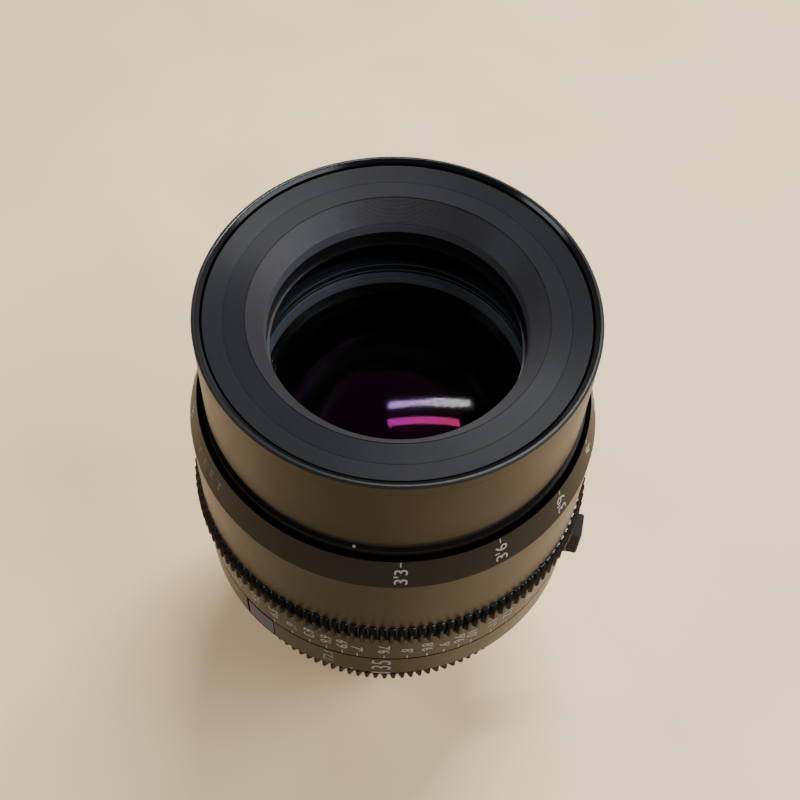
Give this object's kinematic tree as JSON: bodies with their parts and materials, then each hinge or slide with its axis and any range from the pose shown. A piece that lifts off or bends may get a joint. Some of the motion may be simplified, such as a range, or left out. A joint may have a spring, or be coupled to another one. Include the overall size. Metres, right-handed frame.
{
  "type": "cinema prime lens",
  "caption": "Cinema prime lens with a follow-focus gear, distance scales, a geared iris ring that moves real blades, a stepped front baffle and a lugged bayonet mount.",
  "frame": {"origin": "centre of the flange seat on the optical axis", "axes": "+Z along the optical axis towards the front glass, -Y towards the near reading index, +X towards the side of the support foot"},
  "size_m": [0.1098, 0.1072, 0.1625],
  "materials": {
    "black_anodised": "satin anodised",
    "gear_black": "satin anodised",
    "mount_steel": "turned",
    "brass_parts": "turned",
    "dark_steel": "blackened",
    "matt_grey": "matt",
    "gloss_black": "polished",
    "coated_glass": "coated",
    "matt_black": "matt",
    "blade_steel": "blackened"
  },
  "bodies": {
    "barrel": {"lens_mount": "mount_steel", "mount_shim": "brass_parts", "mount_screws": "dark_steel", "rear_baffle": "matt_black", "rear_housing": "black_anodised", "middle_barrel": "black_anodised", "support_foot": "black_anodised", "focus_stop": "dark_steel", "guide_sleeve": "black_anodised", "sleeve_screws": "dark_steel", "front_bearing": "matt_black", "front_barrel": "black_anodised", "front_baffle": "matt_grey", "front_plate": "matt_grey", "front_rim": "gloss_black"},
    "focus": {"focus_ring": "black_anodised", "focus_gear": "gear_black", "rear_scale_ring": "black_anodised", "front_scale_ring": "black_anodised"},
    "lens_block": {"focus_nut": "brass_parts", "focus_keys": "dark_steel", "optical_barrel": "black_anodised", "front_cell": "matt_black", "front_retainer": "matt_black", "front_element": "coated_glass", "second_element": "coated_glass", "second_retainer": "matt_black", "third_element": "coated_glass", "fourth_element": "coated_glass", "doublet_retainer": "matt_black", "iris_housing": "black_anodised", "rear_cell": "matt_black", "fifth_element": "coated_glass", "sixth_element": "coated_glass", "inner_retainer": "matt_black", "seventh_element": "coated_glass", "element_spacer": "brass_parts", "eighth_element": "coated_glass", "rear_retainer": "matt_black"},
    "iris_ring": {"iris_ring": "black_anodised", "iris_gear": "gear_black", "iris_scale_ring": "black_anodised", "iris_fork": "dark_steel"},
    "iris_cam": {"iris_cam": "dark_steel"},
    "blade_1": {"iris_blade_1": "blade_steel"},
    "blade_2": {"iris_blade_2": "blade_steel"},
    "blade_3": {"iris_blade_3": "blade_steel"},
    "blade_4": {"iris_blade_4": "blade_steel"},
    "blade_5": {"iris_blade_5": "blade_steel"},
    "blade_6": {"iris_blade_6": "blade_steel"},
    "blade_7": {"iris_blade_7": "blade_steel"},
    "blade_8": {"iris_blade_8": "blade_steel"},
    "blade_9": {"iris_blade_9": "blade_steel"},
    "blade_10": {"iris_blade_10": "blade_steel"}
  },
  "joints": [
    {"name": "focus_turn", "type": "hinge", "parent": "barrel", "child": "focus", "pos_m": [0, 0, 0.08], "axis": [0, 0, 1], "range_deg": [-95.5, 179.45]},
    {"name": "block_slide", "type": "slide", "parent": "barrel", "child": "lens_block", "axis": [0, 0, 1], "range_m": [-0.0091, 0.0171]},
    {"name": "iris_turn", "type": "hinge", "parent": "barrel", "child": "iris_ring", "pos_m": [0, 0, 0.035], "axis": [0, 0, 1], "range_deg": [0, 75]},
    {"name": "cam_turn", "type": "hinge", "parent": "lens_block", "child": "iris_cam", "pos_m": [0, 0, 0.0727], "axis": [0, 0, 1], "range_deg": [0, 75.1]},
    {"name": "blade_1_turn", "type": "hinge", "parent": "lens_block", "child": "blade_1", "pos_m": [0.031, 0, 0.07], "axis": [0, 0, 1], "range_deg": [0, 31.74]},
    {"name": "blade_2_turn", "type": "hinge", "parent": "lens_block", "child": "blade_2", "pos_m": [0.02508, 0.01822, 0.07], "axis": [0, 0, 1], "range_deg": [0, 31.74]},
    {"name": "blade_3_turn", "type": "hinge", "parent": "lens_block", "child": "blade_3", "pos_m": [0.00958, 0.02948, 0.07], "axis": [0, 0, 1], "range_deg": [0, 31.74]},
    {"name": "blade_4_turn", "type": "hinge", "parent": "lens_block", "child": "blade_4", "pos_m": [-0.00958, 0.02948, 0.07], "axis": [0, 0, 1], "range_deg": [0, 31.74]},
    {"name": "blade_5_turn", "type": "hinge", "parent": "lens_block", "child": "blade_5", "pos_m": [-0.02508, 0.01822, 0.07], "axis": [0, 0, 1], "range_deg": [0, 31.74]},
    {"name": "blade_6_turn", "type": "hinge", "parent": "lens_block", "child": "blade_6", "pos_m": [-0.031, 0, 0.07], "axis": [0, 0, 1], "range_deg": [0, 31.74]},
    {"name": "blade_7_turn", "type": "hinge", "parent": "lens_block", "child": "blade_7", "pos_m": [-0.02508, -0.01822, 0.07], "axis": [0, 0, 1], "range_deg": [0, 31.74]},
    {"name": "blade_8_turn", "type": "hinge", "parent": "lens_block", "child": "blade_8", "pos_m": [-0.00958, -0.02948, 0.07], "axis": [0, 0, 1], "range_deg": [0, 31.74]},
    {"name": "blade_9_turn", "type": "hinge", "parent": "lens_block", "child": "blade_9", "pos_m": [0.00958, -0.02948, 0.07], "axis": [0, 0, 1], "range_deg": [0, 31.74]},
    {"name": "blade_10_turn", "type": "hinge", "parent": "lens_block", "child": "blade_10", "pos_m": [0.02508, -0.01822, 0.07], "axis": [0, 0, 1], "range_deg": [0, 31.74]}
  ],
  "couplings": [
    {"joint": "block_slide", "follows": "focus_turn", "m_per_rad": 0.005459},
    {"joint": "cam_turn", "follows": "iris_turn", "ratio": 1},
    {"joint": "blade_1_turn", "follows": "iris_turn", "ratio": 0.42181},
    {"joint": "blade_2_turn", "follows": "iris_turn", "ratio": 0.42181},
    {"joint": "blade_3_turn", "follows": "iris_turn", "ratio": 0.42181},
    {"joint": "blade_4_turn", "follows": "iris_turn", "ratio": 0.42181},
    {"joint": "blade_5_turn", "follows": "iris_turn", "ratio": 0.42181},
    {"joint": "blade_6_turn", "follows": "iris_turn", "ratio": 0.42181},
    {"joint": "blade_7_turn", "follows": "iris_turn", "ratio": 0.42181},
    {"joint": "blade_8_turn", "follows": "iris_turn", "ratio": 0.42181},
    {"joint": "blade_9_turn", "follows": "iris_turn", "ratio": 0.42181},
    {"joint": "blade_10_turn", "follows": "iris_turn", "ratio": 0.42181}
  ]
}
